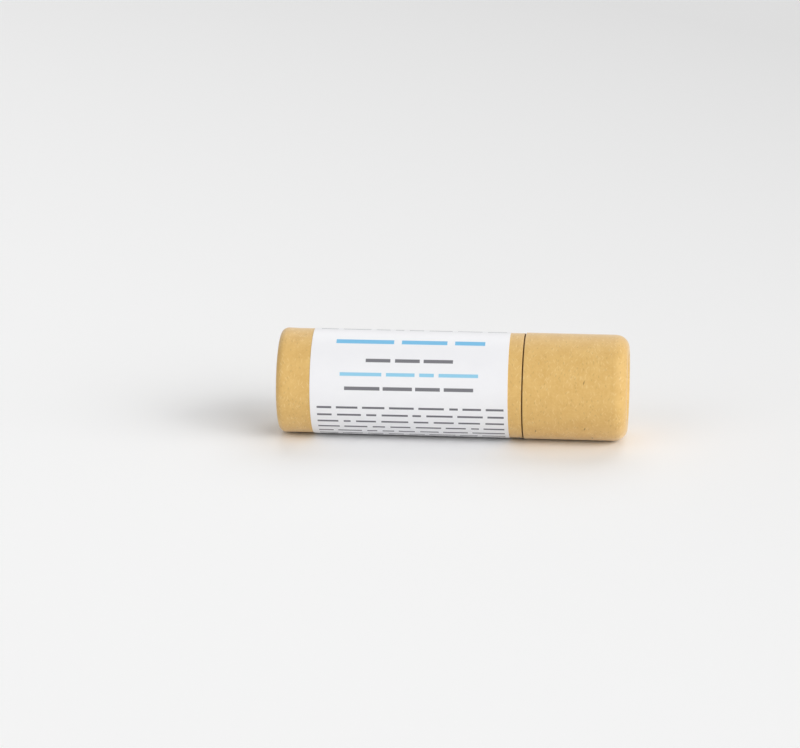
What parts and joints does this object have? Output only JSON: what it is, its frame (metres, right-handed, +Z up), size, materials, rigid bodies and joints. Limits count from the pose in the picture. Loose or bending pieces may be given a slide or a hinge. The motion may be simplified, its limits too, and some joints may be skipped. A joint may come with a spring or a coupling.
{
  "type": "push-up lip balm stick",
  "caption": "Wound paper tube with a rolled base rim, a push-up balm plug on a finger disc, a wrap-round paper label and a pull-off cap.",
  "frame": {"origin": "on the table below the middle of the closed stick, which lies on its side", "axes": "+X along the tube from the base rim to the cap's end, +Z up from the table, -Y the side that the main view looks at"},
  "size_m": [0.07, 0.0212, 0.0213],
  "materials": {
    "kraft_facing": "uncoated kraft paper with visible fibres, matt with a faint sheen",
    "wound_board": "raw wound paperboard, matt",
    "disc_board": "die-cut kraft board, matt",
    "greaseproof_paper": "off-white calendered greaseproof paper, slightly glossy",
    "label_paper": null,
    "balm_wax": "cream wax and oil balm, soft sheen"
  },
  "bodies": {
    "tube": {"body_sleeve": "wound_board", "body_wrap": "kraft_facing", "neck_tube": "wound_board", "neck_wrap": "kraft_facing", "neck_liner": "greaseproof_paper", "label": "label_paper"},
    "pusher": {"push_ring": "greaseproof_paper", "push_disc": "disc_board", "barrier_disc": "greaseproof_paper", "balm": "balm_wax"},
    "cap": {"cap_sleeve": "wound_board", "cap_wrap": "kraft_facing", "cap_lining": "greaseproof_paper", "cap_end_disc": "disc_board", "cap_inner_disc": "greaseproof_paper"}
  },
  "joints": [
    {"name": "push_up", "type": "slide", "parent": "tube", "child": "pusher", "axis": [1, 0, 0], "range_m": [0, 0.053]},
    {"name": "cap_pull", "type": "slide", "parent": "pusher", "child": "cap", "axis": [1, 0, 0], "range_m": [0, 0.03]}
  ]
}
